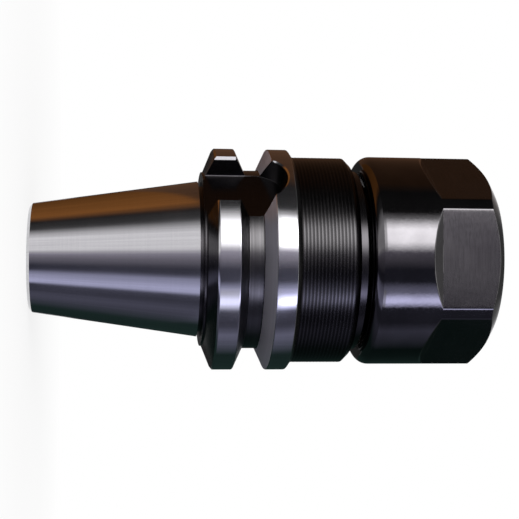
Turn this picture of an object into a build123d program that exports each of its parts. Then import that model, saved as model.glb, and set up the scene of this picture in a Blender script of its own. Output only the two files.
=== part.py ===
from build123d import *
from math import cos, radians, sqrt, tan
import os

# A short steep-taper collet chuck holder, standing on the small end of its taper.
# Millimetres, +Z up along the axis, origin at the centre of the small end face.
# One key slot faces +X and the other faces -X.

# Taper that goes into the spindle, 7 in 24 on the diameter
gauge_diameter = 20.7
taper_length = 21.9
taper_radius_per_length = 7 / 24 / 2
small_end_chamfer = 0.4

# Flange with the gripper groove, read from the taper side towards the nut
flange_diameter = 29.5
undercut_depth = 0.65
undercut_width = 0.45
back_ring_diameter = 23.2
back_ring_width = 0.25
back_cone_height = 1.2
rim_one_width = 2.75
groove_depth = 2.85
groove_floor_width = 1.9
groove_angle = 50.0
rim_two_width = 2.5
rim_two_drop = 1.0
rim_two_slope_angle = 35.0

# Two drive key slots, milled in from the taper side with a round end
key_slot_width = 8.0
key_slot_depth = 3.55
key_slot_reach = 10.5
key_slot_count = 2
key_slot_edge = 0.4

# Blackened body and neck
body_length = 6.8
body_front_chamfer = 0.8
neck_depth = 1.75
neck_length = 1.1

# Threaded nose under the nut
nose_thread_diameter = 22.0
thread_clearance = 0.05
thread_relief_depth = 1.15
thread_relief_width = 1.8
nose_setback = 7.0
nose_chamfer = 0.6

# Clamping nut, a hexagon on a round skirt
nut_wall = 3.0
nut_height = 17.5
nut_gap = 0.4
flat_depth = 1.5
flat_length = 8.5
flat_runout_angle = 45.0
nut_back_chamfer = 0.75
nut_front_chamfer_width = 2.0
nut_front_chamfer_height = 1.25
nut_rest_angle = 45.3
hexagon_sides = 6

# Spring collet, 16 size
collet_diameter = 17.0
collet_length = 27.5
collet_recess = 0.4
collet_nose_height = 0.3
collet_front_angle = 30.0
collet_back_angle = 8.0
collet_head_height = 3.6
collet_head_land = 1.0
collet_groove_width = 2.2
collet_groove_diameter = 14.4
collet_collar_height = 0.46
collet_bore = 8.0
collet_bore_chamfer = 0.4
collet_slot_width = 0.6
collet_slot_count = 8
collet_front_web = 4.5
collet_back_web = 7.2
seat_clearance = 0.03

# Inside of the nut, where an off-centre lip hooks into the collet's groove
nut_mouth_height = 0.9
lip_diameter = 17.4
lip_offset = 0.9
lip_gap = 0.3
lip_thickness = 1.2

# Stop screw behind the collet, and the drawbar thread at the small end
stop_thread_diameter = 10.0
stop_thread_length = 12.5
stop_screw_length = 8.0
stop_screw_margin = 0.4
stop_screw_chamfer = 0.4
stop_socket_width = 5.0
stop_socket_depth = 4.5
stop_hole_diameter = 2.6
passage_diameter = 6.4
drawbar_thread_diameter = 8.0
drawbar_thread_depth = 15.5
drawbar_countersink = 0.5
seat_overrun = 0.4

# Heights of the shoulders, each counted up from the one below it
flank_height = groove_depth * tan(radians(groove_angle / 2))
flange_back = taper_length + undercut_width
cone_start = flange_back + back_ring_width
cone_end = cone_start + back_cone_height
rim_one_end = cone_end + rim_one_width
groove_start = rim_one_end + flank_height
groove_end = groove_start + groove_floor_width
rim_two_start = groove_end + flank_height
rim_two_end = rim_two_start + rim_two_width
body_start = rim_two_end + rim_two_drop * tan(radians(rim_two_slope_angle))
body_end = body_start + body_length
neck_start = body_end + body_front_chamfer
neck_end = neck_start + neck_length
nut_back = neck_end + nut_gap
nut_front = nut_back + nut_height
nose_front = nut_front - nose_setback
collet_front = nut_front - collet_recess
collet_back = collet_front - collet_length
collet_groove_top = collet_front - collet_head_height
collet_groove_bottom = collet_groove_top - collet_groove_width
collet_cone_top = collet_groove_bottom - collet_collar_height
seat_bottom = collet_back - seat_overrun
stop_thread_bottom = seat_bottom - stop_thread_length
stop_screw_bottom = stop_thread_bottom + stop_screw_margin
stop_screw_top = stop_screw_bottom + stop_screw_length
lip_top = collet_groove_top - lip_gap
lip_bottom = lip_top - lip_thickness
flat_bottom = nut_front - flat_length
nut_mouth_bottom = nut_front - nut_mouth_height
collet_nose_bottom = collet_front - collet_nose_height

# Radii of the turned steps, each counted from the one that it is cut into
undercut_radius = gauge_diameter / 2 - undercut_depth
flange_radius = flange_diameter / 2
groove_radius = flange_radius - groove_depth
key_slot_floor = flange_radius - key_slot_depth
body_radius = flange_radius - rim_two_drop
neck_radius = body_radius - neck_depth
thread_radius = nose_thread_diameter / 2
nose_radius = thread_radius - thread_clearance
thread_relief_radius = nose_radius - thread_relief_depth
nut_radius = thread_radius + nut_wall
nut_flat_distance = nut_radius - flat_depth

# Radii that follow from the tapers
small_end_radius = gauge_diameter / 2 - taper_length * taper_radius_per_length
collet_head_radius = collet_diameter / 2
collet_front_slope = tan(radians(collet_front_angle))
collet_back_slope = tan(radians(collet_back_angle))
head_cone_height = collet_head_height - collet_head_land
collet_face_radius = collet_head_radius - (head_cone_height - collet_nose_height) * collet_front_slope
collet_back_radius = collet_head_radius - (collet_cone_top - collet_back) * collet_back_slope
seat_gap = seat_clearance / cos(radians(collet_back_angle))
front_cone_gap = seat_clearance / cos(radians(collet_front_angle))


def seat_radius(height):
    """Radius of the 8 degree seat: the collet's cone at that height, plus the seat clearance."""
    return collet_head_radius - (collet_cone_top - height) * collet_back_slope + seat_gap


def nut_cone_radius(height):
    """Radius of the nut's 30 degree cone: the collet's front cone at that height, plus the clearance."""
    return collet_face_radius + (collet_nose_bottom - height) * collet_front_slope + front_cone_gap


# Holder body: one turned piece, outline and bore in a single half section
holder_outline = [
    (drawbar_thread_diameter / 2 + drawbar_countersink, 0),
    (small_end_radius - small_end_chamfer, 0),
    (small_end_radius + small_end_chamfer * taper_radius_per_length, small_end_chamfer),
    (gauge_diameter / 2, taper_length),
    (undercut_radius, taper_length),
    (undercut_radius, flange_back),
    (back_ring_diameter / 2, flange_back),
    (back_ring_diameter / 2, cone_start),
    (flange_radius, cone_end),
    (flange_radius, rim_one_end),
    (groove_radius, groove_start),
    (groove_radius, groove_end),
    (flange_radius, rim_two_start),
    (flange_radius, rim_two_end),
    (body_radius, body_start),
    (body_radius, body_end),
    (body_radius - body_front_chamfer, neck_start),
    (neck_radius, neck_start),
    (neck_radius, neck_end),
    (thread_relief_radius, neck_end),
    (thread_relief_radius, neck_end + thread_relief_width),
    (nose_radius, neck_end + thread_relief_width),
    (nose_radius, nose_front - nose_chamfer),
    (nose_radius - nose_chamfer, nose_front),
    (seat_radius(nose_front), nose_front),
    (seat_radius(seat_bottom), seat_bottom),
    (stop_thread_diameter / 2, seat_bottom),
    (stop_thread_diameter / 2, stop_thread_bottom),
    (passage_diameter / 2, stop_thread_bottom),
    (passage_diameter / 2, drawbar_thread_depth),
    (drawbar_thread_diameter / 2, drawbar_thread_depth),
    (drawbar_thread_diameter / 2, drawbar_countersink),
]
with BuildPart() as holder_body:
    with BuildSketch(Plane.XZ):
        with BuildLine():
            Polyline(*holder_outline, close=True)
        make_face()
    revolve(axis=Axis.Z)

    # Key slots: a U-shaped pocket, flat at the bottom, open towards the taper
    key_slot_centre = flange_back + key_slot_reach - key_slot_width / 2
    key_slot_open_length = key_slot_centre - taper_length
    pocket_depth = key_slot_depth + key_slot_width
    for turn in range(key_slot_count):
        facing = Vector(1, 0, 0).rotate(Axis.Z, 360 / key_slot_count * turn)
        slot_plane = Plane(
            origin=facing * key_slot_floor + Vector(0, 0, key_slot_centre),
            x_dir=(0, 0, 1),
            z_dir=facing,
        )
        with BuildSketch(slot_plane):
            Circle(key_slot_width / 2)
            Rectangle(key_slot_open_length, key_slot_width, align=(Align.MAX, Align.CENTER))
        extrude(amount=pocket_depth, mode=Mode.SUBTRACT)

    # The axial edges of the slots on the first rim are broken, by no more than half the slot's wall
    rim_corner = sqrt(flange_radius**2 - (key_slot_width / 2) ** 2)
    slot_wall = rim_corner - key_slot_floor
    rim_middle = (cone_end + rim_one_end) / 2
    slot_edges = (
        holder_body.edges()
        .filter_by(Axis.Z)
        .filter_by(lambda edge: abs(abs(edge.center().X) - rim_corner) < key_slot_edge / 4)
        .filter_by(lambda edge: abs(edge.center().Z - rim_middle) < rim_one_width / 2)
    )
    chamfer(slot_edges, min(key_slot_edge, slot_wall / 2))
holder_body.part.label = "holder_body"

# Clamping nut: a round blank, then six flats that run out in a slope
nut_mouth_radius = nut_cone_radius(nut_mouth_bottom)
lip_nearest = lip_diameter / 2 - lip_offset
with BuildPart() as collet_nut:
    with BuildSketch(Plane.XZ):
        with BuildLine():
            Polyline(
                (nut_radius - nut_back_chamfer, nut_back),
                (nut_radius, nut_back + nut_back_chamfer),
                (nut_radius, nut_front - nut_front_chamfer_height),
                (nut_radius - nut_front_chamfer_width, nut_front),
                (nut_mouth_radius, nut_front),
                (nut_mouth_radius, nut_mouth_bottom),
                (nut_cone_radius(lip_top), lip_top),
                (lip_nearest, lip_top),
                (lip_nearest, lip_bottom),
                (thread_radius, lip_bottom),
                (thread_radius, nut_back),
                close=True,
            )
        make_face()
    revolve(axis=Axis.Z)

    # The lip's hole is wider than the collet's head but stands off centre
    lip_hole_place = Vector(lip_offset, 0).rotate(Axis.Z, nut_rest_angle)
    with BuildSketch(Plane.XY.offset(lip_bottom)):
        with Locations(lip_hole_place):
            Circle(lip_diameter / 2)
    extrude(amount=lip_thickness, mode=Mode.SUBTRACT)

    # One flat's waste, patterned round the axis
    waste_margin = 2.0
    waste_reach = flat_depth + waste_margin
    runout = waste_reach * tan(radians(flat_runout_angle))
    for side in range(hexagon_sides):
        facing = Vector(1, 0, 0).rotate(Axis.Z, nut_rest_angle + 360 / hexagon_sides * side)
        radial_plane = Plane(origin=(0, 0, 0), x_dir=facing, z_dir=facing.cross(Vector(0, 0, 1)))
        with BuildSketch(radial_plane):
            with BuildLine():
                Polyline(
                    (nut_flat_distance, nut_front + waste_margin),
                    (nut_flat_distance, flat_bottom),
                    (nut_flat_distance + waste_reach, flat_bottom - runout),
                    (nut_flat_distance + waste_reach, nut_front + waste_margin),
                    close=True,
                )
            make_face()
        extrude(amount=nut_radius, both=True, mode=Mode.SUBTRACT)
collet_nut.part.label = "collet_nut"

# Spring collet: a turned double cone, slit in turn from the front and from the back
with BuildPart() as collet:
    with BuildSketch(Plane.XZ):
        with BuildLine():
            Polyline(
                (collet_bore / 2 + collet_bore_chamfer, collet_front),
                (collet_face_radius, collet_front),
                (collet_face_radius, collet_nose_bottom),
                (collet_head_radius, collet_front - head_cone_height),
                (collet_head_radius, collet_groove_top),
                (collet_groove_diameter / 2, collet_groove_top),
                (collet_groove_diameter / 2, collet_groove_bottom),
                (collet_head_radius, collet_groove_bottom),
                (collet_head_radius, collet_cone_top),
                (collet_back_radius, collet_back),
                (collet_bore / 2, collet_back),
                (collet_bore / 2, collet_front - collet_bore_chamfer),
                close=True,
            )
        make_face()
    revolve(axis=Axis.Z)

    # Slits from the front stop short of the back end
    slit_radius = collet_diameter
    with BuildSketch(Plane.XY.offset(collet_front)):
        with PolarLocations(0, collet_slot_count):
            Rectangle(slit_radius, collet_slot_width, align=(Align.MIN, Align.CENTER))
    extrude(amount=-(collet_length - collet_front_web), mode=Mode.SUBTRACT)

    # Slits from the back lie between them and stop below the groove
    with BuildSketch(Plane.XY.offset(collet_back)):
        with PolarLocations(0, collet_slot_count, start_angle=180 / collet_slot_count):
            Rectangle(slit_radius, collet_slot_width, align=(Align.MIN, Align.CENTER))
    extrude(amount=collet_length - collet_back_web, mode=Mode.SUBTRACT)
collet.part.label = "collet"

# Stop screw: hexagon socket towards the collet, drilled through
with BuildPart() as stop_screw:
    with BuildSketch(Plane.XY.offset(stop_screw_bottom)):
        Circle(stop_thread_diameter / 2 - thread_clearance)
    extrude(amount=stop_screw_length)
    chamfer(stop_screw.edges().group_by(Axis.Z)[-1], stop_screw_chamfer)
    with BuildSketch(Plane.XY.offset(stop_screw_top)):
        RegularPolygon(stop_socket_width / 2, hexagon_sides, major_radius=False)
    extrude(amount=-stop_socket_depth, mode=Mode.SUBTRACT)
    with BuildSketch(Plane.XY.offset(stop_screw_bottom)):
        Circle(stop_hole_diameter / 2)
    extrude(amount=stop_screw_length, mode=Mode.SUBTRACT)
stop_screw.part.label = "stop_screw"

os.makedirs("parts", exist_ok=True)
export_step(holder_body.part, "parts/holder_body.step")
export_step(collet_nut.part, "parts/collet_nut.step")
export_step(collet.part, "parts/collet.step")
export_step(stop_screw.part, "parts/stop_screw.step")
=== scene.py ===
# %% [markdown]
# # A collet chuck holder with its clamping nut
# The real object is a short steep-taper tool holder. Its taper and the two rims of its
# flange are ground bright, and its body and its hexagon nut are blackened. The nut closes
# a slit spring collet on the shank of a cutter. It stands here on the small end of its taper,
# and every length below is in millimetres until a mesh is made.

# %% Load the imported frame
import math

import bpy
import numpy as np
from mathutils import Matrix, Vector


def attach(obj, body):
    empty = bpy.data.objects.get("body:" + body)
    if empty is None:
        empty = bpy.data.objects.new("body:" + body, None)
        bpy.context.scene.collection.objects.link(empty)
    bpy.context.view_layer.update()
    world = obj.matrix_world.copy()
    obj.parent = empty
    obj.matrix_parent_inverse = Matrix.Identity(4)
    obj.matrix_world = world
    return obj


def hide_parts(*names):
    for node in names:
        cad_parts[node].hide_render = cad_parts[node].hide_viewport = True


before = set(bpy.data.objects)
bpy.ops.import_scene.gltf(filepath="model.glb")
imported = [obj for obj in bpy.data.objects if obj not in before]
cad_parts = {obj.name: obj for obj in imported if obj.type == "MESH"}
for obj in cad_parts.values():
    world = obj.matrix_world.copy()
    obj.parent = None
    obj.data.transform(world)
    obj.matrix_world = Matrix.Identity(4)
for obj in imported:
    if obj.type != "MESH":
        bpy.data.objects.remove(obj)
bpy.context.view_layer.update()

print("nodes", sorted(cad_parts))

# %% [markdown]
# ## Grids instead of primitives
# Nearly everything on a turned part is a profile carried round an axis, so one helper turns
# a grid of points into a mesh. Rows follow the profile, up the outside and down through the
# bore, and columns go round counterclockwise. With that order every face points outwards.
# The UV map runs round in u and along the profile in v, which gives the brushed finishes
# their direction.

# %% Make a mesh from a grid of points
MILLIMETRE = 0.001


def ring_mesh(name, points):
    """Points has the shape rows x columns x 3. Each quad joins four neighbours, round the columns
    and from the last row back to the first."""
    rows, columns, _ = points.shape
    row, column = np.meshgrid(np.arange(rows), np.arange(columns), indexing="ij")
    next_row = (row + 1) % rows
    next_column = (column + 1) % columns
    quads = np.stack([
        row * columns + column,
        row * columns + next_column,
        next_row * columns + next_column,
        next_row * columns + column,
    ], axis=-1).reshape(-1, 4)
    mesh = bpy.data.meshes.new(name)
    mesh.vertices.add(rows * columns)
    mesh.vertices.foreach_set("co", (points.reshape(-1, 3) * MILLIMETRE).astype(np.float32).ravel())
    mesh.loops.add(quads.size)
    mesh.loops.foreach_set("vertex_index", quads.ravel().astype(np.int32))
    mesh.polygons.add(len(quads))
    mesh.polygons.foreach_set("loop_start", np.arange(0, quads.size, 4, dtype=np.int32))
    across = np.stack([column, column + 1, column + 1, column], axis=-1) / columns
    along = np.stack([row, row, row + 1, row + 1], axis=-1) / rows
    uv = mesh.uv_layers.new(name="turning")
    uv.data.foreach_set("uv", np.stack([across, along], axis=-1).astype(np.float32).ravel())
    mesh.update(calc_edges=True)
    mesh.validate()
    return mesh


sharp_angle = math.radians(14)


def new_piece(name, mesh):
    """Links a mesh as a piece whose object stays at the origin, smooth but for edges over the angle."""
    mesh.polygons.foreach_set("use_smooth", np.ones(len(mesh.polygons), dtype=bool))
    mesh.set_sharp_from_angle(angle=sharp_angle)
    piece = bpy.data.objects.new(name, mesh)
    bpy.context.scene.collection.objects.link(piece)
    return piece


# %% [markdown]
# A real edge is never perfectly sharp: a file or a hone takes a few hundredths off it, and a thin
# line of light runs along it. So each corner of a profile is given with the width of its eased
# edge, and a short arc takes the corner's place.

# %% Ease the corners of a profile
corner_points = 3


def eased_profile(corners):
    """Each corner (radius, height, ease) becomes a short arc: the quadratic curve that leaves the
    edge before it and joins the edge after it at the ease distance, at most 0.45 of either edge."""
    corners = np.array(corners, float)
    here = corners[:, :2]
    to_last = np.roll(here, 1, axis=0) - here
    to_next = np.roll(here, -1, axis=0) - here
    last_length = np.linalg.norm(to_last, axis=1, keepdims=True)
    next_length = np.linalg.norm(to_next, axis=1, keepdims=True)
    start = here + to_last / last_length * np.minimum(corners[:, 2:], 0.45 * last_length)
    end = here + to_next / next_length * np.minimum(corners[:, 2:], 0.45 * next_length)
    t = np.linspace(0, 1, corner_points)[None, :, None]
    arc = (1 - t) ** 2 * start[:, None] + 2 * t * (1 - t) * here[:, None] + t**2 * end[:, None]
    return arc.reshape(-1, 2)


def straight_rows(start, end, count):
    """Evenly spaced points from one corner to another, both ends left out."""
    t = (np.arange(count) + 1)[:, None] / (count + 1)
    return np.array(start) * (1 - t) + np.array(end) * t


# %% [markdown]
# ## Threads
# The nose of the holder and the inside of the nut carry the same right-hand thread with a
# pitch of 1.5 mm. A thread could be a swept wire, but as a change of radius it stays one with
# its piece: the phase is the height in pitches less the turn, so a nut that turns and rises
# by one pitch a turn keeps the same grooves.

# %% The groove of a thread
thread_pitch = 1.5
thread_depth = 0.541 * thread_pitch


def thread_groove(turn, height, pitch=thread_pitch, depth=thread_depth):
    """Depth of a 60 degree thread at an angle and a height. Across one pitch it falls from the flat
    crest, an eighth of the pitch wide, down straight flanks to the flat root, a quarter wide."""
    phase = (height / pitch - turn / (2 * np.pi)) % 1.0
    from_root = np.abs(phase - 0.5) * 2
    return depth * np.clip((0.875 - from_root) / (0.875 - 0.25), 0, 1)


print("thread depth", round(thread_depth, 3))

# %% [markdown]
# ## The holder's turned outline
# The holder is one turned piece: the 7 in 24 taper, an undercut, the flange with its two rims and the
# V-shaped gripper groove, the body, a neck and the threaded nose. Its inside is the 8 degree seat of the
# collet, a plain hole for the stop screw and the drawbar's thread. All of it is one closed profile, made in
# stretches so that each can have the rows that it needs.

# %% Heights and radii of the holder
taper_big_radius = 10.35
taper_length = 21.9
taper_rise = 7 / 48
taper_small_radius = taper_big_radius - taper_length * taper_rise
undercut_radius = 9.7
flange_back = 22.35
flange_lip_radius, flange_lip_front = 11.6, 22.6
flange_radius = 14.75
rim_one_back, rim_one_front = 23.8, 26.55
groove_radius = 11.9
groove_back, groove_front = 27.879, 29.779
rim_two_back, rim_two_front = 31.108, 33.608
body_radius = 13.75
body_back, body_front = 34.308, 41.108
neck_radius = 12.0
neck_back, neck_front = 41.908, 43.008
relief_radius, relief_front = 9.8, neck_front + 1.8
nose_radius = 10.95
nose_front = 53.908
nose_chamfer = 0.6
print("taper radii", taper_small_radius, taper_big_radius, "nose from", relief_front, "to", nose_front)

# %% [markdown]
# The outside up to the body starts at the mouth of the drawbar's hole. The last two corners
# belong to the body: they only give the corner before them its direction, so their arcs are
# dropped.

# %% The outside from the small end to the body
drawbar_radius = 4.0
drawbar_mouth_radius, drawbar_mouth_depth = 4.5, 0.5
outside_low = eased_profile([
    (drawbar_mouth_radius, 0.0, 0.05),
    (taper_small_radius - 0.4, 0.0, 0.06),
    (taper_small_radius + 0.06, 0.4, 0.08),
    (taper_big_radius, taper_length, 0.06),
    (undercut_radius, taper_length, 0.03),
    (undercut_radius, flange_back, 0.03),
    (flange_lip_radius, flange_back, 0.05),
    (flange_lip_radius, flange_lip_front, 0.04),
    (flange_radius - 0.3, rim_one_back - 0.04, 0.04),
    (flange_radius, rim_one_back + 0.22, 0.05),
    (flange_radius, rim_one_front, 0.09),
    (groove_radius, groove_back, 0.12),
    (groove_radius, groove_front, 0.12),
    (flange_radius, rim_two_back, 0.09),
    (flange_radius, rim_two_front, 0.12),
    (body_radius + 0.02, body_back - 0.02, 0.05),
    (body_radius, body_front, 0.05),
])[:-2 * corner_points]
print("rows up to the body", len(outside_low))

# %% [markdown]
# ## Turning ridges on the body
# The blackened body was left as the lathe cut it. About fifteen fine ridges run round it, less
# than half a millimetre apart and about a hundredth deep. A bump would do from afar, but
# they are the first thing that catches light on the black surface, so they are in the profile.

# %% The ridged rows of the body
ridge_pitch = 0.46
ridge_depth = 0.014
rows_per_ridge = 6
ridge_count = round((body_front - body_back) / ridge_pitch)


def ridged_rows():
    """Radius less the ridge depth times a rounded wave: the square of a sine, one hump a ridge."""
    height = np.linspace(body_back, body_front, ridge_count * rows_per_ridge + 1)
    wave = np.sin(np.pi * (height - body_back) / (body_front - body_back) * ridge_count) ** 2
    return np.stack([body_radius - ridge_depth * (1 - wave), height], axis=1)


ridges = ridged_rows()
print("ridges", ridge_count, "rows", len(ridges))

# %% [markdown]
# Above the body come its chamfer, a short neck that stays free below the nut, a relief where the
# threading tool ran out, and the nose. The rows on the nose are close, because the thread is cut
# into them later.

# %% The outside from the body to the nose
outside_high = eased_profile([
    (body_radius - 0.01, body_front, 0.03),
    (body_radius - 0.8, neck_back, 0.06),
    (neck_radius, neck_back, 0.05),
    (neck_radius, neck_front, 0.08),
    (relief_radius, neck_front, 0.04),
    (relief_radius, relief_front, 0.04),
    (nose_radius, relief_front, 0.03),
])[1:-corner_points]
thread_end = (nose_radius, nose_front - nose_chamfer)
thread_rows = straight_rows((nose_radius, relief_front), thread_end, 96)
nose_rows = straight_rows(thread_end, (nose_radius - nose_chamfer, nose_front), 8)
print("rows up to the nose", len(outside_high) + len(thread_rows) + len(nose_rows))

# %% [markdown]
# Inside, the collet's seat narrows by 8 degrees a side. Below it is the room for the stop screw,
# a narrow passage, and the tapped hole that a drawbar pulls on.

# %% The inside, from the nose down to the small end
seat_bottom = 32.608
seat_slope = math.tan(math.radians(8))
seat_top_radius = 8.5 - (54.248 - nose_front) * seat_slope + 0.03
seat_bottom_radius = seat_top_radius - (nose_front - seat_bottom) * seat_slope
screw_hole_radius, screw_hole_bottom = 5.0, 20.108
passage_radius = 3.2
drawbar_top = 15.5
inside_top = eased_profile([
    (nose_radius - nose_chamfer, nose_front, 0.04),
    (seat_top_radius + 0.2, nose_front, 0.04),
    (seat_top_radius, nose_front - 0.2, 0.04),
    (seat_bottom_radius, seat_bottom, 0.04),
    (screw_hole_radius, seat_bottom, 0.04),
    (screw_hole_radius, screw_hole_bottom, 0.04),
    (passage_radius, screw_hole_bottom, 0.04),
    (passage_radius, drawbar_top, 0.04),
    (drawbar_radius, drawbar_top, 0.02),
])[:-corner_points]
drawbar_end = (drawbar_radius, drawbar_mouth_depth)
drawbar_rows = straight_rows((drawbar_radius, drawbar_top), drawbar_end, 110)
mouth_rows = straight_rows(drawbar_end, (drawbar_mouth_radius, 0.0), 2)
print("seat radii", seat_top_radius, seat_bottom_radius, "rows inside", len(inside_top) + len(drawbar_rows))

# %% [markdown]
# The profile is carried round in 240 columns. The rows of the nose lose the depth of the thread,
# and the rows of the drawbar hole get ridges that reach inwards, as a tapped hole has.

# %% Carry the profile round the axis
stretches = [outside_low, ridges, outside_high, thread_rows, nose_rows, inside_top, drawbar_rows, mouth_rows]
profile = np.concatenate(stretches)
stretch_of_row = np.repeat(np.arange(len(stretches)), [len(part) for part in stretches])
holder_columns = 240
turn = np.arange(holder_columns) / holder_columns * 2 * np.pi
radius = np.repeat(profile[:, :1], holder_columns, axis=1)
height = np.repeat(profile[:, 1:], holder_columns, axis=1)
turns = np.repeat(turn[None, :], len(profile), axis=0)
on_nose = (stretch_of_row == 3) | (stretch_of_row == 4)
threaded = nose_radius - thread_groove(turns[on_nose], height[on_nose])
radius[on_nose] = np.minimum(radius[on_nose], threaded)
on_drawbar = stretch_of_row == 6
drawbar_pitch, drawbar_depth = 1.25, 0.6
drawbar_ridge = thread_groove(turns[on_drawbar], height[on_drawbar], drawbar_pitch, drawbar_depth)
fade_at_top = np.clip((15.2 - height[on_drawbar]) / 0.6, 0, 1)
radius[on_drawbar] = drawbar_radius - drawbar_ridge * fade_at_top
holder_points = np.stack([radius * np.cos(turns), radius * np.sin(turns), height], axis=-1)
holder_mesh = ring_mesh("turned_holder", holder_points)
print("profile rows", len(profile), "holder quads", len(holder_mesh.polygons))

# %% [markdown]
# ## The two key slots
# A spindle drives the holder through two slots, milled from the taper side with a round end
# that stops in the second rim. The slot is cut with a Boolean, since a milled pocket is just that:
# a cutter taken away. The cutter is a U drawn as one outline and carried outwards, and it flares
# where it leaves the rims, because the slot's edges are broken there.

# %% The outline of one key slot
slot_start = 21.0
slot_half_width = 4.0
slot_floor = 11.2
slot_centre = 28.85
slot_edge = 0.4
slot_round_edge = 0.2
slot_fillet = 0.25
round_end_fillet = 0.03


def slot_outline():
    """The U as seen from outside: a straight side from below the flange up to the centre of the round
    end, a half circle, and the other side down. Each point has its place, the direction square to the
    outline, the width by which the edge is broken there, wide on the first rim and narrow on the
    second, and the radius of the fillet at the floor, which fades out towards the round end."""
    side_heights = np.array([slot_start, rim_one_front - 0.04, rim_one_front + 0.04, slot_centre])
    side_breaks = np.array([slot_edge, slot_edge, 0.0, 0.0])
    side_fillets = np.array([slot_fillet, slot_fillet, slot_fillet, round_end_fillet])
    side_across = np.full(4, slot_half_width)
    side_square = np.tile([[1.0, 0.0]], (4, 1))
    arc = np.linspace(0, np.pi, 61)[1:-1]
    arc_heights = slot_centre + slot_half_width * np.sin(arc)
    arc_square = np.stack([np.cos(arc), np.sin(arc)], axis=1)
    arc_fillets = np.full(len(arc), round_end_fillet)
    on_rim = np.clip((arc_heights - rim_two_back) / 0.3, 0, 1)
    across = np.concatenate([side_across, slot_half_width * np.cos(arc), -side_across])
    up = np.concatenate([side_heights, arc_heights, side_heights[::-1]])
    square = np.concatenate([side_square, arc_square, -side_square])
    breaks = np.concatenate([side_breaks, slot_round_edge * on_rim, side_breaks[::-1]])
    fillets = np.concatenate([side_fillets, arc_fillets, side_fillets[::-1]])
    return across, up, square, breaks, fillets


print("points of the slot's outline", len(slot_outline()[0]))

# %% [markdown]
# The outline is drawn in layers from the floor outwards, narrower at the floor by the fillet and
# wider past the rim by the broken edge. The same layers turned half a turn make the second slot,
# and one Boolean takes both away.

# %% Cut both key slots
cutter_rise = 1.5


def slot_layers():
    """The cutter's points, one row a layer: a fillet at the floor, the straight wall up to the depth of
    the broken edge under the rim's curve, the square root of radius squared less place squared, then
    a flare at 45 degrees."""
    across, up, square, breaks, fillets = slot_outline()
    rim_surface = np.sqrt(flange_radius**2 - across**2)
    slopes = np.linspace(0, np.pi / 2, 5)
    layers = [(slot_floor + fillets * (1 - np.cos(a)), -fillets * (1 - np.sin(a))) for a in slopes]
    layers.append((rim_surface - breaks, 0 * across))
    layers.append((rim_surface + cutter_rise, np.where(breaks > 0, breaks + cutter_rise, 0.0)))
    return np.stack([
        np.stack([out, across + spread * square[:, 0], up + spread * square[:, 1]], axis=-1)
        for out, spread in layers
    ])


def slot_cutter(name):
    """Joins each layer to the next by two triangles a step, closes the first and the last by one face,
    and repeats it all half a turn round, where both coordinates across the axis change their sign."""
    layers = slot_layers()
    count = layers.shape[1]
    points = layers.reshape(-1, 3)
    k = np.arange(count)
    n = (k + 1) % count
    sides = []
    for layer in range(len(layers) - 1):
        low, high = layer * count, (layer + 1) * count
        sides.append(np.stack([low + k, low + n, high + n], axis=1))
        sides.append(np.stack([low + k, high + n, high + k], axis=1))
    faces = np.concatenate(sides).tolist()
    faces.append(list(range(count))[::-1])
    faces.append(list(range(len(points) - count, len(points))))
    opposite = points * np.array([-1.0, -1.0, 1.0])
    both = np.concatenate([points, opposite]) * MILLIMETRE
    faces += [[index + len(points) for index in face] for face in faces]
    mesh = bpy.data.meshes.new(name)
    mesh.from_pydata(both.tolist(), [], faces)
    mesh.update()
    cutter = bpy.data.objects.new(name, mesh)
    bpy.context.scene.collection.objects.link(cutter)
    return cutter


def cut_with(piece, cutter):
    """Takes the cutter away from the piece's mesh and deletes the cutter."""
    cut = piece.modifiers.new("cut", "BOOLEAN")
    cut.operation = "DIFFERENCE"
    cut.solver = "EXACT"
    cut.object = cutter
    bpy.context.view_layer.update()
    evaluated = piece.evaluated_get(bpy.context.evaluated_depsgraph_get())
    result = bpy.data.meshes.new_from_object(evaluated)
    piece.modifiers.clear()
    piece.data = result
    bpy.data.objects.remove(cutter)


holder = new_piece("turned_holder", holder_mesh)
cut_with(holder, slot_cutter("key_slot_cutter"))
holder.data.set_sharp_from_angle(angle=sharp_angle)
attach(holder, "holder")
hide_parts("holder_body")
print("holder after the slots", len(holder.data.polygons))

# %% [markdown]
# ## The clamping nut
# The nut is a round blank with six flats milled from the front, which run out in a slope
# towards the skirt, and a turned chamfer at the front. Every one of these is a bound on the
# radius, so the outside is the smallest of them at each angle and height. A soft minimum rounds
# the edges a little, as tumbling and blackening leave them.

# %% The nut's outside as the least of three radii
nut_back = 43.408
nut_front = 60.908
nut_radius = 14.0
flat_distance = 12.5
flat_bottom = nut_front - 8.5
flat_turn = math.radians(45.3)
edge_angle = math.acos(flat_distance / nut_radius)
front_land = 10.9
front_slope = 2.0 / 1.25


def turn_from_flat(angle):
    """Angle from the middle of the nearest flat, between minus and plus 30 degrees."""
    sixth = np.pi / 3
    return (angle - flat_turn + sixth / 2) % sixth - sixth / 2


def nut_outside(angle, level, softness=0.03):
    """Soft minimum, minus softness times the log of the summed exponentials, of the blank's radius,
    the milled flat with its run-out over the cosine of the turn, and the front chamfer's cone."""
    flat = (flat_distance + np.maximum(flat_bottom - level, 0)) / np.cos(turn_from_flat(angle))
    cone = front_land + (nut_front - level) * front_slope
    bounds = np.stack([np.full(flat.shape, nut_radius), flat, cone])
    least = bounds.min(axis=0)
    return least - softness * np.log(np.exp(-(bounds - least) / softness).sum(axis=0))


print("half the width of a flat, in degrees", round(math.degrees(edge_angle), 2))

# %% [markdown]
# The grid's columns crowd at the flats' edges, and its rows bend to follow the curved edges
# of the run-out and the front chamfer, so that no edge is cut into steps by the grid.

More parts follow.
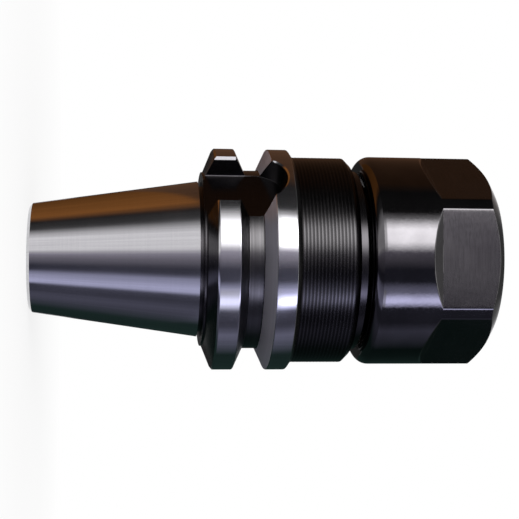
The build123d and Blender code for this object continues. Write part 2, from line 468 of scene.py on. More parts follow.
# %% Columns and rows of the nut
from_edge = np.radians([-1.6, -0.7, -0.35, -0.17, -0.06, 0.06, 0.17, 0.35, 0.7, 1.5])
middle_reach = edge_angle - math.radians(3)
one_side = np.concatenate([
    -edge_angle - from_edge[::-1],
    np.linspace(-middle_reach, middle_reach, 22),
    edge_angle + from_edge,
    [math.radians(30)],
])
nut_turn = np.concatenate([one_side + flat_turn + k * np.pi / 3 for k in range(6)])
off_flat = turn_from_flat(nut_turn)
runout_low = flat_bottom - np.maximum(nut_radius * np.cos(off_flat) - flat_distance, 0)
blank_or_flat = np.minimum(nut_radius, flat_distance / np.cos(off_flat))
chamfer_level = nut_front - (blank_or_flat - front_land) / front_slope
skirt_round = 1.6


def rows_between(low, high, count):
    """Heights from low to high for every column, evenly spaced, with the last one left out."""
    t = np.arange(count) / count
    low = np.broadcast_to(low, nut_turn.shape)
    high = np.broadcast_to(high, nut_turn.shape)
    return low[None, :] * (1 - t[:, None]) + high[None, :] * t[:, None]


outer_height = np.concatenate([
    rows_between(nut_back + skirt_round, runout_low - 0.3, 5),
    rows_between(runout_low - 0.3, flat_bottom + 0.15, 30),
    rows_between(flat_bottom + 0.15, chamfer_level - 0.2, 8),
    rows_between(chamfer_level - 0.2, chamfer_level + 0.15, 12),
    rows_between(chamfer_level + 0.15, nut_front - 0.04, 5),
])
outer_radius = nut_outside(np.broadcast_to(nut_turn, outer_height.shape), outer_height)
sweep = np.linspace(0, np.pi / 2, 10)[:-1, None]
round_radius = nut_radius - skirt_round * (1 - np.sin(sweep)) - 0.001 + 0 * nut_turn
round_height = nut_back + skirt_round * (1 - np.cos(sweep)) + 0 * nut_turn
print("columns", len(nut_turn), "rows outside", len(outer_height) + len(sweep))

# %% [markdown]
# ## The inside of the nut
# Behind the mouth a 30 degree cone presses on the collet's head. Under it an off-centre lip hooks
# into the collet's groove, so that the nut pulls the collet out when it is unscrewed: tilt the
# collet and it snaps in on the wide side. The rest is thread.

# %% Rows of the nut's inside
mouth_radius = 7.322
mouth_bottom = 60.008
cone_bottom_radius = 9.265
lip_top, lip_bottom = 56.608, 55.408
lip_radius, lip_offset = 8.7, 0.9
lip_angle = nut_turn - flat_turn
lip_reach = np.sqrt(lip_radius**2 - (lip_offset * np.sin(lip_angle)) ** 2)
lip_hole = lip_offset * np.cos(lip_angle) + lip_reach
lip_edge = 0.04
thread_bore = 11.0


def level_row(row_radius, row_height):
    """One row of the grid at a radius and a height, each a number or one value a column."""
    return np.broadcast_to(row_radius, nut_turn.shape), np.broadcast_to(row_height, nut_turn.shape)


front_rows = [
    level_row(front_land - 0.02, nut_front - 0.006),
    level_row(front_land - 0.12, nut_front),
    level_row(10.5, nut_front),
    level_row(mouth_radius + 0.34, nut_front),
    level_row(mouth_radius + 0.27, nut_front - 0.02),
    level_row(mouth_radius + 0.02, nut_front - 0.27),
    level_row(mouth_radius, nut_front - 0.32),
    level_row(mouth_radius, mouth_bottom),
    level_row(cone_bottom_radius, lip_top + 0.03),
    level_row(cone_bottom_radius, lip_top),
    level_row(lip_hole + lip_edge, lip_top),
    level_row(lip_hole, lip_top - lip_edge),
    level_row(lip_hole, lip_bottom + lip_edge),
    level_row(lip_hole + lip_edge, lip_bottom),
    level_row(thread_bore - 0.02, lip_bottom),
]
thread_height = rows_between(lip_bottom - 0.02, nut_back + 0.5, 140)
ridge = np.maximum(thread_groove(nut_turn[None, :], thread_height) - 0.1, 0)
ridge = ridge * np.clip((lip_bottom - 0.3 - thread_height) / 0.5, 0, 1)
back_rows = [
    level_row(thread_bore + 0.02, nut_back + 0.48),
    level_row(thread_bore + 0.46, nut_back + 0.03),
    level_row(thread_bore + 0.52, nut_back),
]
print("rows inside", len(front_rows) + len(thread_height) + len(back_rows))

# %% [markdown]
# The rows now follow each other from the back edge up the outside, over the front and down
# through the thread, and the mesh closes from the last row to the first.

# %% Make the nut
nut_radii = np.concatenate([
    round_radius, outer_radius, [r for r, _ in front_rows], thread_bore - ridge, [r for r, _ in back_rows],
])
nut_heights = np.concatenate([
    round_height, outer_height, [h for _, h in front_rows], thread_height, [h for _, h in back_rows],
])
nut_points = np.stack([nut_radii * np.cos(nut_turn), nut_radii * np.sin(nut_turn), nut_heights], axis=-1)
nut = new_piece("hexagon_nut", ring_mesh("hexagon_nut", nut_points))
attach(nut, "clamping_nut")
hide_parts("collet_nut")
print("nut quads", len(nut.data.polygons), "highest", nut_heights.max())

# %% [markdown]
# ## The collet and the stop screw
# The slit collet and the small socket screw behind it already have their true forms in the
# frame. Their facets come as loose triangles, so a copy is merged first, and then a narrow bevel
# breaks the edges that a hone would break.

# %% Merge a copy of a node and ease its edges
weld_distance = 0.005
bevel_angle = math.radians(25)
smooth_angle = math.radians(20)


def eased_copy(name, node, width):
    """Copies the node's mesh, merges points closer than the weld distance and bevels edges steeper
    than the bevel angle by the width in millimetres."""
    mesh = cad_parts[node].data.copy()
    mesh.name = name
    piece = bpy.data.objects.new(name, mesh)
    bpy.context.scene.collection.objects.link(piece)
    weld = piece.modifiers.new("weld", "WELD")
    weld.merge_threshold = weld_distance * MILLIMETRE
    ease = piece.modifiers.new("ease", "BEVEL")
    ease.width = width * MILLIMETRE
    ease.segments = 1
    ease.limit_method = "ANGLE"
    ease.angle_limit = bevel_angle
    bpy.context.view_layer.update()
    evaluated = piece.evaluated_get(bpy.context.evaluated_depsgraph_get())
    result = bpy.data.meshes.new_from_object(evaluated)
    piece.modifiers.clear()
    piece.data = result
    result.polygons.foreach_set("use_smooth", np.ones(len(result.polygons), dtype=bool))
    result.set_sharp_from_angle(angle=smooth_angle)
    result.materials.clear()
    return piece


slit_collet = eased_copy("slit_collet", "collet", 0.06)
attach(slit_collet, "drawn_collet")
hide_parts("collet")
socket_stop = eased_copy("socket_stop", "stop_screw", 0.08)
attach(socket_stop, "length_stop")
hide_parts("stop_screw")
print("collet faces", len(slit_collet.data.polygons), "stop faces", len(socket_stop.data.polygons))

# %% [markdown]
# ## Steel finishes
# Every finish is metal or nearly so, and its colour is the colour of its reflections. What tells
# the finishes apart is how the surface was worked: ground steel carries hair-fine lines round the
# axis and faint polishing streaks along it, turned steel coarser lines, and blackened steel is
# dark with a slight oily sheen. A few helpers make the nodes that all of them need.

# %% Node helpers for the finishes
def new_finish(name):
    """A material with only its output and its surface shader, and the two nodes to build on."""
    material = bpy.data.materials.new(name)
    material.use_nodes = True
    tree = material.node_tree
    tree.nodes.clear()
    output = tree.nodes.new("ShaderNodeOutputMaterial")
    surface = tree.nodes.new("ShaderNodeBsdfPrincipled")
    tree.links.new(surface.outputs["BSDF"], output.inputs["Surface"])
    return material, tree, surface


def maths(tree, operation, first, second):
    """A maths node of two values that other nodes make."""
    node = tree.nodes.new("ShaderNodeMath")
    node.operation = operation
    tree.links.new(first, node.inputs[0])
    tree.links.new(second, node.inputs[1])
    return node.outputs[0]


def noise_of(tree, place, scale, detail, roughness=0.5):
    """Noise at a place, with its size as the number of lumps a metre."""
    noise = tree.nodes.new("ShaderNodeTexNoise")
    noise.inputs["Scale"].default_value = scale
    noise.inputs["Detail"].default_value = detail
    noise.inputs["Roughness"].default_value = roughness
    tree.links.new(place, noise.inputs["Vector"])
    return noise.outputs["Fac"]


def remap(tree, source, low, high, to_low, to_high):
    """Maps a value from one range to another, clamped at both ends."""
    node = tree.nodes.new("ShaderNodeMapRange")
    node.inputs["From Min"].default_value = low
    node.inputs["From Max"].default_value = high
    node.inputs["To Min"].default_value = to_low
    node.inputs["To Max"].default_value = to_high
    tree.links.new(source, node.inputs["Value"])
    return node.outputs["Result"]


def bump(tree, surface, source, distance):
    """Bends the surface's light by a height, with the distance in metres."""
    node = tree.nodes.new("ShaderNodeBump")
    node.inputs["Strength"].default_value = 1.0
    node.inputs["Distance"].default_value = distance
    tree.links.new(source, node.inputs["Height"])
    tree.links.new(node.outputs["Normal"], surface.inputs["Normal"])


def two_colours(tree, source, dark_stop, dark, light_stop, light):
    """A colour that runs from dark to light between two stops of a value."""
    node = tree.nodes.new("ShaderNodeValToRGB")
    first, last = node.color_ramp.elements
    first.position, first.color = dark_stop, (*dark, 1.0)
    last.position, last.color = light_stop, (*light, 1.0)
    tree.links.new(source, node.inputs["Fac"])
    return node.outputs["Color"]


def shade_colour(material, shade):
    """Multiplies what feeds the colour of a finish by a shade."""
    tree = material.node_tree
    surface = next(node for node in tree.nodes if node.type == "BSDF_PRINCIPLED")
    scale = tree.nodes.new("ShaderNodeVectorMath")
    scale.operation = "SCALE"
    tree.links.new(surface.inputs["Base Color"].links[0].from_socket, scale.inputs[0])
    tree.links.new(shade, scale.inputs["Scale"])
    tree.links.new(scale.outputs[0], surface.inputs["Base Color"])


# %% [markdown]
# A tool that cuts or grinds while the piece turns leaves rings. They come from noise that reads
# only the distance from the axis and the height, so it is the same all the way round. Such a
# surface spreads its highlight across the rings, so the shader's stretch follows the turning.

# %% Steel worked on a lathe
def ring_noise(tree, place, rings):
    """Noise that is constant round the axis: it reads the distance from the axis and the height,
    both in metres times the number of rings per metre."""
    split = tree.nodes.new("ShaderNodeSeparateXYZ")
    tree.links.new(place, split.inputs[0])
    flat = tree.nodes.new("ShaderNodeCombineXYZ")
    tree.links.new(split.outputs["X"], flat.inputs["X"])
    tree.links.new(split.outputs["Y"], flat.inputs["Y"])
    length = tree.nodes.new("ShaderNodeVectorMath")
    length.operation = "LENGTH"
    tree.links.new(flat.outputs[0], length.inputs[0])
    ring = tree.nodes.new("ShaderNodeCombineXYZ")
    tree.links.new(length.outputs["Value"], ring.inputs["X"])
    tree.links.new(split.outputs["Z"], ring.inputs["Y"])
    return noise_of(tree, ring.outputs[0], rings, 4.0, 0.6)


def follow_turning(tree, surface, around):
    """Stretches the surface's highlights by a share, in the direction round the axis, which the UV
    map gives."""
    surface.inputs["Anisotropic"].default_value = around
    tangent = tree.nodes.new("ShaderNodeTangent")
    tangent.direction_type = "UV_MAP"
    tangent.uv_map = "turning"
    tree.links.new(tangent.outputs["Tangent"], surface.inputs["Tangent"])


def worked_steel(name, dark, light, rough, rings, lines, around=0.0, metal=1.0):
    """A metal with rings round the axis: they shade the colour from dark to light and bend the light
    by a height given in metres. The roughness spreads in blotches between its two levels."""
    material, tree, surface = new_finish(name)
    surface.inputs["Metallic"].default_value = metal
    place = tree.nodes.new("ShaderNodeTexCoord").outputs["Object"]
    fine = ring_noise(tree, place, rings)
    blotch = noise_of(tree, place, 140.0, 3.0)
    colour = two_colours(tree, fine, 0.25, dark, 0.75, light)
    tree.links.new(colour, surface.inputs["Base Color"])
    tree.links.new(remap(tree, blotch, 0.35, 0.65, *rough), surface.inputs["Roughness"])
    bump(tree, surface, fine, lines)
    if around:
        follow_turning(tree, surface, around)
    return material


def polished_streaks(material, streaks, low, high):
    """Shades a finish by faint streaks along the axis: noise of the direction from the axis only,
    which multiplies the colour by low to high."""
    tree = material.node_tree
    place = tree.nodes.new("ShaderNodeTexCoord").outputs["Object"]
    flat = tree.nodes.new("ShaderNodeVectorMath")
    flat.operation = "MULTIPLY"
    flat.inputs[1].default_value = (1.0, 1.0, 0.02)
    tree.links.new(place, flat.inputs[0])
    direction = tree.nodes.new("ShaderNodeVectorMath")
    direction.operation = "NORMALIZE"
    tree.links.new(flat.outputs[0], direction.inputs[0])
    noise = noise_of(tree, direction.outputs[0], streaks, 5.0)
    shade_colour(material, remap(tree, noise, 0.3, 0.7, low, high))


# %% [markdown]
# The taper and the rims are ground, the rest of the groove is turned, and the flank that the gripper pulls
# on is satin steel, rougher than the others, so its highlight is the widest. Its colour carries a lilac
# tint, which is a painted reflection of lilac light. The collet is spring steel, and the stop screw is
# black.

# %% The bright and the plain steels
ground_steel = worked_steel(
    "ground_steel", (0.58, 0.58, 0.60), (0.64, 0.64, 0.66), (0.10, 0.14), 9000.0, 2e-7, around=0.5)
polished_streaks(ground_steel, 26.0, 0.90, 1.04)
turned_steel = worked_steel(
    "turned_steel", (0.08, 0.078, 0.08), (0.15, 0.147, 0.15), (0.18, 0.25), 3500.0, 1.5e-6, around=0.3)
# The flank's grey is tinted lilac: a painted reflection on satin steel.
satin_flank_painted_lilac = worked_steel(
    "satin_flank_steel_painted_lilac", (0.50, 0.485, 0.56), (0.62, 0.605, 0.68), (0.34, 0.42), 5000.0, 1e-6,
    around=0.3, metal=0.8)
spring_steel = worked_steel(
    "spring_steel", (0.42, 0.42, 0.43), (0.56, 0.56, 0.57), (0.22, 0.30), 6000.0, 1e-6)
screw_steel = worked_steel(
    "black_screw_steel", (0.03, 0.03, 0.032), (0.05, 0.05, 0.052), (0.32, 0.40), 3000.0, 1e-6)
print("made", [m.name for m in (ground_steel, turned_steel, satin_flank_painted_lilac, spring_steel, screw_steel)])

# %% [markdown]
# Blackening is a thin oxide that keeps the surface as it was worked. On the body it is rubbed a
# little brighter on the crests of the turning ridges. The nut was tumbled before, so it has a
# fine dimpled grain instead of rings, and its flats show the cutter's lines.

# %% The blackened steels
def ridged_black(name, valley, crest):
    """Blackened steel on the body: dark in the valleys of the turning ridges and brighter on their
    crests, by the same squared sine as in the profile."""
    material = worked_steel(
        name, (0.8, 0.78, 0.8), (1.0, 0.98, 1.0), (0.20, 0.26), 6000.0, 8e-7, around=0.3)
    tree = material.node_tree
    place = tree.nodes.new("ShaderNodeTexCoord").outputs["Object"]
    split = tree.nodes.new("ShaderNodeSeparateXYZ")
    tree.links.new(place, split.inputs[0])
    phase = tree.nodes.new("ShaderNodeMapRange")
    phase.clamp = False
    phase.inputs["From Min"].default_value = body_back * MILLIMETRE
    phase.inputs["From Max"].default_value = body_front * MILLIMETRE
    phase.inputs["To Max"].default_value = math.pi * ridge_count
    tree.links.new(split.outputs["Z"], phase.inputs["Value"])
    sine = tree.nodes.new("ShaderNodeMath")
    sine.operation = "SINE"
    tree.links.new(phase.outputs["Result"], sine.inputs[0])
    square = maths(tree, "MULTIPLY", sine.outputs[0], sine.outputs[0])
    shade_colour(material, remap(tree, square, 0.35, 1.0, valley, crest))
    return material


def speckled_black(name, dark, light, rough, grains, dimple):
    """Blackened steel that was tumbled first: smooth and oily, with a fine dimpled grain."""
    material, tree, surface = new_finish(name)
    surface.inputs["Metallic"].default_value = 1.0
    place = tree.nodes.new("ShaderNodeTexCoord").outputs["Object"]
    grain = noise_of(tree, place, grains, 2.0)
    blotch = noise_of(tree, place, 260.0, 4.0)
    colour = two_colours(tree, blotch, 0.3, dark, 0.7, light)
    tree.links.new(colour, surface.inputs["Base Color"])
    tree.links.new(remap(tree, grain, 0.35, 0.65, *rough), surface.inputs["Roughness"])
    bump(tree, surface, grain, dimple)
    return material


black_steel = worked_steel(
    "blackened_turned_steel", (0.055, 0.053, 0.056), (0.085, 0.082, 0.086), (0.18, 0.25), 6000.0, 1e-6,
    around=0.3)
black_body = ridged_black("blackened_ridged_steel", 0.028, 0.085)
black_nut = speckled_black(
    "blackened_nut_steel", (0.125, 0.122, 0.127), (0.165, 0.161, 0.167), (0.05, 0.11), 2600.0, 3.2e-6)
black_flat = worked_steel(
    "blackened_milled_flat", (0.085, 0.082, 0.084), (0.15, 0.145, 0.148), (0.19, 0.26), 4200.0, 2e-6)
print("made", [m.name for m in (black_steel, black_body, black_nut, black_flat)])

# %% [markdown]
# ## Which face gets which finish
# On the holder the finish changes at edges of the profile, so each face picks it by where it is.
# The holder was blackened all over before its working surfaces were finished. So the taper and the
# two rims are ground bright, the flank that the gripper pulls on is satin, and the rest of the
# groove is a darker turned grey, while the back of the flange, the body, the neck, the nose and
# the walls and floors of the milled slots stayed black.

# %% Choose the holder's finishes face by face
def face_values(mesh, which):
    """Three numbers of every face, its centre or its normal, as one row a face."""
    values = np.zeros(len(mesh.polygons) * 3)
    mesh.polygons.foreach_get(which, values)
    return values.reshape(-1, 3)


GROUND, TURNED, BLACK, RIDGED, SATIN = range(5)
mesh = holder.data
mesh.materials.clear()
for material in (ground_steel, turned_steel, black_steel, black_body, satin_flank_painted_lilac):
    mesh.materials.append(material)
centres = face_values(mesh, "center") / MILLIMETRE
normals = face_values(mesh, "normal")
face_radius = np.hypot(centres[:, 0], centres[:, 1])
face_height = centres[:, 2]
bore_limit = 9.5
outside = face_radius > bore_limit
taper_inside = 6.5
rim_inside = flange_radius - 0.27
choice = np.full(len(centres), TURNED)
on_taper = (face_height < taper_length - 0.02) & (face_radius > taper_inside)
on_rims = (face_radius > rim_inside) & (face_height < rim_two_front + 0.3)
choice[on_taper | on_rims] = GROUND
behind_flange = (face_height > taper_length - 0.02) & (face_height < rim_one_back + 0.3)
choice[behind_flange & (face_radius < rim_inside) & outside] = BLACK
choice[(face_height > rim_two_front + 0.3) & outside] = BLACK
print("faces ground, turned, black", np.bincount(choice))

# %% [markdown]
# The slots were milled after turning and blackened with the rest. Their faces are found by the
# cutter's own sizes: the flat floors by their direction, the walls and the round end by their
# distance from the slot's middle. The body and the satin flank come last.

# %% Choose the finishes in the slots, on the body and on the flank
out_from_axis = np.abs(centres[:, 0])
near_slot = (face_height > taper_length + 0.1) & (face_height < slot_centre + slot_half_width + 0.02)
level_floor = np.abs(normals[:, 0]) > 0.999
slot_floors = near_slot & level_floor & (np.abs(out_from_axis - slot_floor) < 0.02)
inside_slot = near_slot & (out_from_axis > slot_floor - 0.01)
in_width = np.abs(centres[:, 1]) < slot_half_width + 0.01
under_rim = face_radius < flange_radius - 0.06
slot_walls = inside_slot & (face_height < slot_centre) & in_width & under_rim
from_end = np.hypot(centres[:, 1], face_height - slot_centre)
slot_round = inside_slot & (face_height > slot_centre) & (from_end < slot_half_width + 0.01)
choice[slot_floors | slot_walls | slot_round] = BLACK
on_body = (face_height > body_back) & (face_height < body_front) & (face_radius > body_radius - 0.1)
choice[on_body] = RIDGED
on_flank = (face_height > groove_front + 0.1) & (face_height < rim_two_back - 0.06)
choice[on_flank & (normals[:, 2] < -0.3) & (choice == TURNED)] = SATIN
mesh.polygons.foreach_set("material_index", choice.astype(np.int32))
mesh.update()
print("faces ground, turned, black, ridged, satin", np.bincount(choice, minlength=5))

# %% [markdown]
# The nut is black all over, but its flats were milled after tumbling, so they lack the grain. The
# collet and the stop screw have one finish each.

# %% Finish the nut, the collet and the stop screw
nut.data.materials.append(black_nut)
nut.data.materials.append(black_flat)
nut_centres = face_values(nut.data, "center") / MILLIMETRE
across_flat = turn_from_flat(np.arctan2(nut_centres[:, 1], nut_centres[:, 0]))
out_to_flat = np.hypot(nut_centres[:, 0], nut_centres[:, 1]) * np.cos(across_flat)
in_flat = (nut_centres[:, 2] > flat_bottom) & (np.abs(across_flat) < edge_angle)
milled = in_flat & (np.abs(out_to_flat - flat_distance) < 0.03)
nut.data.polygons.foreach_set("material_index", milled.astype(np.int32))
nut.data.update()
slit_collet.data.materials.append(spring_steel)
socket_stop.data.materials.append(screw_steel)
print("milled faces of the nut", milled.sum())

# %% [markdown]
# ## The floor
# The floor is a plain pale plane that keeps a soft shadow. A picture of a part on white paper is
# lit until the paper is white, so where the camera or a mirror looks, most of the floor's light
# is replaced by plain white.

# %% The floor
def looked_at(tree):
    """One where the camera or a mirror looks, or where light passes through, and nought elsewhere: the
    greatest of three outputs of the Light Path node."""
    path = tree.nodes.new("ShaderNodeLightPath")
    seen = maths(tree, "MAXIMUM", path.outputs["Is Camera Ray"], path.outputs["Is Glossy Ray"])
    return maths(tree, "MAXIMUM", seen, path.outputs["Is Transmission Ray"])


def pale_floor(name, colour):
    """A matt pale surface. Where it is looked at, a part of it is replaced by plain white: four
    fifths close to the object, so that a soft shadow stays, and all of it further out."""
    material, tree, surface = new_finish(name)
    surface.inputs["Base Color"].default_value = (*colour, 1.0)
    surface.inputs["Roughness"].default_value = 0.9
    surface.inputs["Specular IOR Level"].default_value = 0.0
    white = tree.nodes.new("ShaderNodeEmission")
    white.inputs["Color"].default_value = (1.0, 1.0, 1.0, 1.0)
    place = tree.nodes.new("ShaderNodeTexCoord")
    distance = tree.nodes.new("ShaderNodeVectorMath")
    distance.operation = "LENGTH"
    tree.links.new(place.outputs["Object"], distance.inputs[0])
    share = remap(tree, distance.outputs["Value"], 0.01, 0.09, 0.80, 1.0)
    mix = tree.nodes.new("ShaderNodeMixShader")
    output = next(node for node in tree.nodes if node.type == "OUTPUT_MATERIAL")
    tree.links.new(maths(tree, "MULTIPLY", looked_at(tree), share), mix.inputs["Fac"])
    tree.links.new(surface.outputs["BSDF"], mix.inputs[1])
    tree.links.new(white.outputs[0], mix.inputs[2])
    tree.links.new(mix.outputs[0], output.inputs["Surface"])
    return material


floor_reach = 3.0
corners = np.array([(-1, -1, 0), (1, -1, 0), (1, 1, 0), (-1, 1, 0)]) * floor_reach
floor_mesh = bpy.data.meshes.new("floor")
floor_mesh.from_pydata(corners.tolist(), [], [(0, 1, 2, 3)])
floor_mesh.materials.append(pale_floor("pale_floor", (0.92, 0.92, 0.92)))
floor = bpy.data.objects.new("floor", floor_mesh)
bpy.context.scene.collection.objects.link(floor)
print("floor reaches", floor_reach, "m each way")

# %% [markdown]
# ## What the metal mirrors
# What shows on bright metal is the room around it, so cards stand round the object like a
# photographer's windows and flags, and they are seen only in reflections. A round surface turned
# by an angle away from the camera mirrors the direction at twice that angle. So each card is
# placed by where it shall show on the object, in degrees from the camera's side towards the
# picture's upper edge. There are two rows of cards: those on a mat on the floor, which the taper
# mirrors, and those on a wall, which the rims, the body and the nut mirror.

# %% The cards on the mat and on the wall
tints = {
    "white": (1.0, 0.98, 1.0), "blue": (0.7, 0.7, 1.0), "violet": (0.88, 0.82, 1.0),
    "brown": (1.0, 0.38, 0.10), "dull brown": (1.0, 0.5, 0.28), "green": (0.5, 1.0, 0.9),
}
mat_cards = [
    ("back window", "white", -90, 0.72, -83, 0.72),
    ("green flag", "green", -79, 0.022, -60, 0.028),
    ("dim blue card", "blue", -46, 0.11, -41, 0.13),
    ("dark gap", "blue", -36, 0.08, -29, 0.08),
    ("blue window", "blue", -25.5, 0.88, -16, 0.45),
    ("front flag", "blue", -12.5, 0.08, -8, 0.06),
    ("front paper", "violet", 0, 0.22, 4, 0.36),
    ("white window", "white", 8, 0.88, 21, 0.95),
    ("black flag", "white", 31, 0.06, 40, 0.02),
    ("brown card", "brown", 47, 0.26, 79, 0.09),
    ("back window", "white", 83, 0.72, 90, 0.72),
]
wall_cards = [
    ("back window", "white", -90, 0.8, -85.5, 0.8),
    ("green flag", "green", -83, 0.03, -58, 0.025),
    ("dim blue card", "blue", -45, 0.22, -43.5, 0.24),
    ("dark gap", "blue", -38, 0.08, -28, 0.09),
    ("blue window", "blue", -24.5, 4.0, -23, 4.0),
    ("its dim side", "blue", -19, 0.9, -15.5, 0.55),
    ("front flag", "blue", -12.5, 0.08, -5, 0.08),
    ("front paper", "violet", 0, 0.28, 5, 0.46),
    ("white window", "white", 11, 5.2, 18.5, 5.4),
    ("its dim side", "white", 25, 0.7, 25.5, 0.6),
    ("black flag", "white", 28.5, 0.03, 42, 0.02),
    ("brown card", "dull brown", 48, 0.07, 83, 0.11),
    ("back window", "white", 85.5, 0.8, 90, 0.8),
]
sheet_degrees = np.linspace(-180, 180, 721)


def spread_cards(cards, pull):
    """Colours at every place of the sheet. A card holds its name, its tint, and the place and the level
    at its low and at its high edge. Its tint times its level runs straight from edge to edge, and
    straight on to the next card. The places are pulled towards the front by so many degrees times
    the sine of twice the place, because the mirrored rays don't start at the foot of the sheet."""
    places, colours = [], []
    for _, tint, low, low_level, high, high_level in cards:
        for place, level in ((low, low_level), (high, high_level)):
            places.append(place - pull * math.sin(math.radians(2 * place)))
            colours.append(np.array(tints[tint]) * level)
    colours = np.array(colours)
    return np.stack([np.interp(sheet_degrees, places, colours[:, k]) for k in range(3)], axis=1)


on_mat = spread_cards(mat_cards, 2.2)
on_wall = spread_cards(wall_cards, 4.0)
print("cards on the mat and the wall", len(mat_cards), len(wall_cards))

# %% [markdown]
# The mat and the wall are one sheet, so that no white gap shows between them, and the sheet closes
# above the object in a canopy. Low on the wall the windows are dimmer, and beside the object the low
# rows are dark, so that the small end and the gap behind the nut mirror no window there. The
# canopy is a soft grey over the camera and paler in the middle, for the faces that look up.

# %% The rows of the sheet
camera_side = math.atan2(0.728, 0.686)
camera_distance = 162.1
mirror_radius = 11.0
foot_radius = 7.2
beside = np.abs(sheet_degrees)[:, None] > 79
behind = np.abs(sheet_degrees)[:, None] > 90
low_wall = np.where(on_wall > 0.6, 0.6 + 0.42 * (on_wall - 0.6), on_wall)
low_wall = np.where(beside, 0.03, low_wall)
far_mat = np.where(beside, 0.03, on_mat)
dark_canopy = np.full_like(on_wall, 0.07)
pale_canopy = np.full_like(on_wall, 0.7)
over_camera = np.clip(np.cos(np.radians(1.6 * sheet_degrees)), 0, 1)[:, None]
front_canopy = np.where(behind, dark_canopy, dark_canopy + 0.5 * over_camera)
canopy_edge = 0.4 * on_wall + 0.6 * front_canopy
sheet_rows = [
    (0.0, 0.2, on_mat), (4.0, 0.2, on_mat), (15.0, 0.2, on_mat), (60.0, 0.2, on_mat),
    (75.0, 0.2, far_mat), (152.0, 1.0, far_mat),
    (155.0, 3.0, low_wall), (160.0, 16.0, low_wall), (160.0, 46.0, low_wall),
    (160.0, 62.0, on_wall), (160.0, 130.0, on_wall), (152.0, 165.0, canopy_edge),
    (135.0, 185.0, front_canopy), (105.0, 187.0, dark_canopy), (80.0, 188.0, dark_canopy),
    (72.0, 189.0, pale_canopy), (50.0, 190.0, pale_canopy),
]
print("rows of the sheet", len(sheet_rows))

# %% [markdown]
# The cards only glow. Their colours are stored at the points of the sheet, so one finish that reads
# them serves every card.

# %% The finish of the cards
def glowing_cards(name):
    """A finish that only glows, with the colour that each point of the sheet holds."""
    material = bpy.data.materials.new(name)
    material.use_nodes = True
    tree = material.node_tree
    tree.nodes.clear()
    output = tree.nodes.new("ShaderNodeOutputMaterial")
    glow = tree.nodes.new("ShaderNodeEmission")
    colour = tree.nodes.new("ShaderNodeAttribute")
    colour.attribute_name = "card_colour"
    tree.links.new(colour.outputs["Color"], glow.inputs["Color"])
    tree.links.new(glow.outputs[0], output.inputs["Surface"])
    return material


card_finish = glowing_cards("card_finish")
print("finish of the cards", card_finish.name)

# %% [markdown]
# The sheet is a grid like the metal pieces, with one column for each half degree. The camera, the
# matt floor and the shadows don't see it.

# %% The sheet that only reflections see
def mirror_sheet(name, sheet_rows):
    """A sheet over all places round the object. Each row holds its reach from the mirroring surface,
    its height and its colours. It lies in the direction that the surface mirrors: twice the
    surface's turn, and a little more because the camera is near. Behind the object the rows run
    straight back."""
    radians = np.radians(sheet_degrees)
    to_camera = camera_distance - mirror_radius * np.cos(radians)
    mirrored = 2 * radians + np.arctan2(mirror_radius * np.sin(radians), to_camera)
    mirrored = np.where(behind[:, 0], np.sign(radians) * np.pi, mirrored)
    start, ahead = camera_side - radians, camera_side - mirrored
    reach = np.array([row_reach for row_reach, _, _ in sheet_rows])[:, None]
    x = foot_radius * np.cos(start) + reach * np.cos(ahead)
    y = foot_radius * np.sin(start) + reach * np.sin(ahead)
    z = np.array([row_height for _, row_height, _ in sheet_rows])[:, None] + 0 * x
    rows, columns = x.shape
    row, column = np.meshgrid(np.arange(rows - 1), np.arange(columns - 1), indexing="ij")
    corner = row * columns + column
    faces = np.stack([corner, corner + 1, corner + columns + 1, corner + columns], axis=-1).reshape(-1, 4)
    mesh = bpy.data.meshes.new(name)
    points = np.stack([x, y, z], axis=-1).reshape(-1, 3) * MILLIMETRE
    mesh.from_pydata(points.tolist(), [], faces.tolist())
    shades = np.array([row_shades for _, _, row_shades in sheet_rows])
    colours = np.concatenate([shades, np.ones((rows, columns, 1))], axis=2)
    attribute = mesh.attributes.new("card_colour", "FLOAT_COLOR", "POINT")
    attribute.data.foreach_set("color", colours.astype(np.float32).ravel())
    mesh.materials.append(card_finish)
    sheet = bpy.data.objects.new(name, mesh)
    bpy.context.scene.collection.objects.link(sheet)
    sheet.visible_camera = False
    sheet.visible_diffuse = False
    sheet.visible_transmission = False
    sheet.visible_volume_scatter = False
    sheet.visible_shadow = False
    return sheet


sheet = mirror_sheet("mat_and_wall", sheet_rows)
print("faces of the sheet", len(sheet.data.polygons))

# %% [markdown]
# ## Studio light
# A large key lamp stands where the sheet is brightest, with a weak one behind, and the floor gets
# soft shadows from them. The metal sees the sheet instead of the lamps.

# %% The two lamps
def area_lamp(name, degrees, distance, heights, radiance, colour):
    """A rectangular lamp that fills the angles between two places at a distance, between two heights
    in millimetres, and faces the axis. Its width is twice the distance times the tangent of half its
    angle, and its power is pi times its area times its radiance."""
    data = bpy.data.lights.new(name, "AREA")
    data.shape = "RECTANGLE"
    data.size = 2 * distance * math.tan(math.radians(degrees[1] - degrees[0]) / 2) * MILLIMETRE
    data.size_y = (heights[1] - heights[0]) * MILLIMETRE
    data.energy = math.pi * radiance * data.size * data.size_y
    data.color = colour
    lamp = bpy.data.objects.new(name, data)
    angle = camera_side - math.radians(sum(degrees) / 2)
    outwards = Vector((math.cos(angle), math.sin(angle), 0))
    lamp.location = (outwards * distance + Vector((0, 0, sum(heights) / 2))) * MILLIMETRE
    lamp.rotation_euler = outwards.to_track_quat("Z", "Y").to_euler()
    lamp.visible_glossy = False
    bpy.context.scene.collection.objects.link(lamp)
    print(name, "power", round(data.energy, 3))


area_lamp("key_lamp", (13, 57), 300, (8, 230), 4.5, (1.0, 0.985, 0.97))
area_lamp("back_lamp", (170, 215), 400, (20, 300), 1.0, (1.0, 1.0, 1.0))

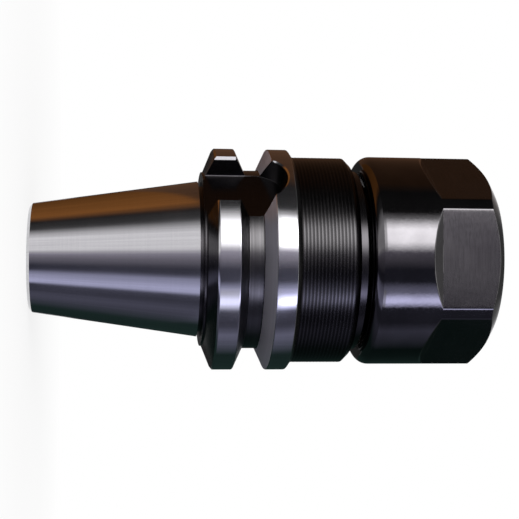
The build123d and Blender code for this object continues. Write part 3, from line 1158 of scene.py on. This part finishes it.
# %% [markdown]
# The world is plain white where the camera or a mirror looks at it, and a little dimmer where it
# lights the matt floor, so that the lamps' shadow stays visible.

# %% The world
fill_light = 0.6
world = bpy.data.worlds.new("studio")
bpy.context.scene.world = world
world.use_nodes = True
tree = world.node_tree
tree.nodes.clear()
world_output = tree.nodes.new("ShaderNodeOutputWorld")
sky = tree.nodes.new("ShaderNodeBackground")
sky.inputs["Color"].default_value = (1.0, 1.0, 1.0, 1.0)
tree.links.new(remap(tree, looked_at(tree), 0.0, 1.0, fill_light, 1.0), sky.inputs["Strength"])
tree.links.new(sky.outputs[0], world_output.inputs["Surface"])
bpy.context.scene.view_settings.view_transform = "Standard"
print("world nodes", len(tree.nodes))

# %% [markdown]
# ## The camera
# The camera stands square to the axis, about 160 mm away and level with the thin part of the
# taper. It lies on its side, so that the taper points left, and it looks a few degrees towards
# the nut. It is rolled half a degree, as the object lies in the picture.

# %% Place the camera
picture_pixels = 519
focal_pixels = 1212.0
sensor_width = 36.0
camera_level = 12.08
look_up = math.radians(6.46)
roll = math.radians(0.48)
towards_camera = Vector((math.cos(camera_side), math.sin(camera_side), 0))
axis = Vector((0, 0, 1))
picture_up = Vector((math.sin(camera_side), -math.cos(camera_side), 0))
backward = towards_camera * math.cos(look_up) - axis * math.sin(look_up)
rightward = axis * math.cos(look_up) + towards_camera * math.sin(look_up)
rolled_right = rightward * math.cos(roll) + picture_up * math.sin(roll)
rolled_up = picture_up * math.cos(roll) - rightward * math.sin(roll)
camera_data = bpy.data.cameras.new("camera")
camera_data.sensor_width = sensor_width
camera_data.lens = focal_pixels / picture_pixels * sensor_width
camera_data.clip_start = 0.01
camera = bpy.data.objects.new("camera", camera_data)
turned = Matrix((rolled_right, rolled_up, backward)).transposed().to_4x4()
place = (towards_camera * camera_distance + axis * camera_level) * MILLIMETRE
camera.matrix_world = Matrix.Translation(place) @ turned
bpy.context.scene.collection.objects.link(camera)
bpy.context.scene.camera = camera
print("camera at", [round(v, 4) for v in place])
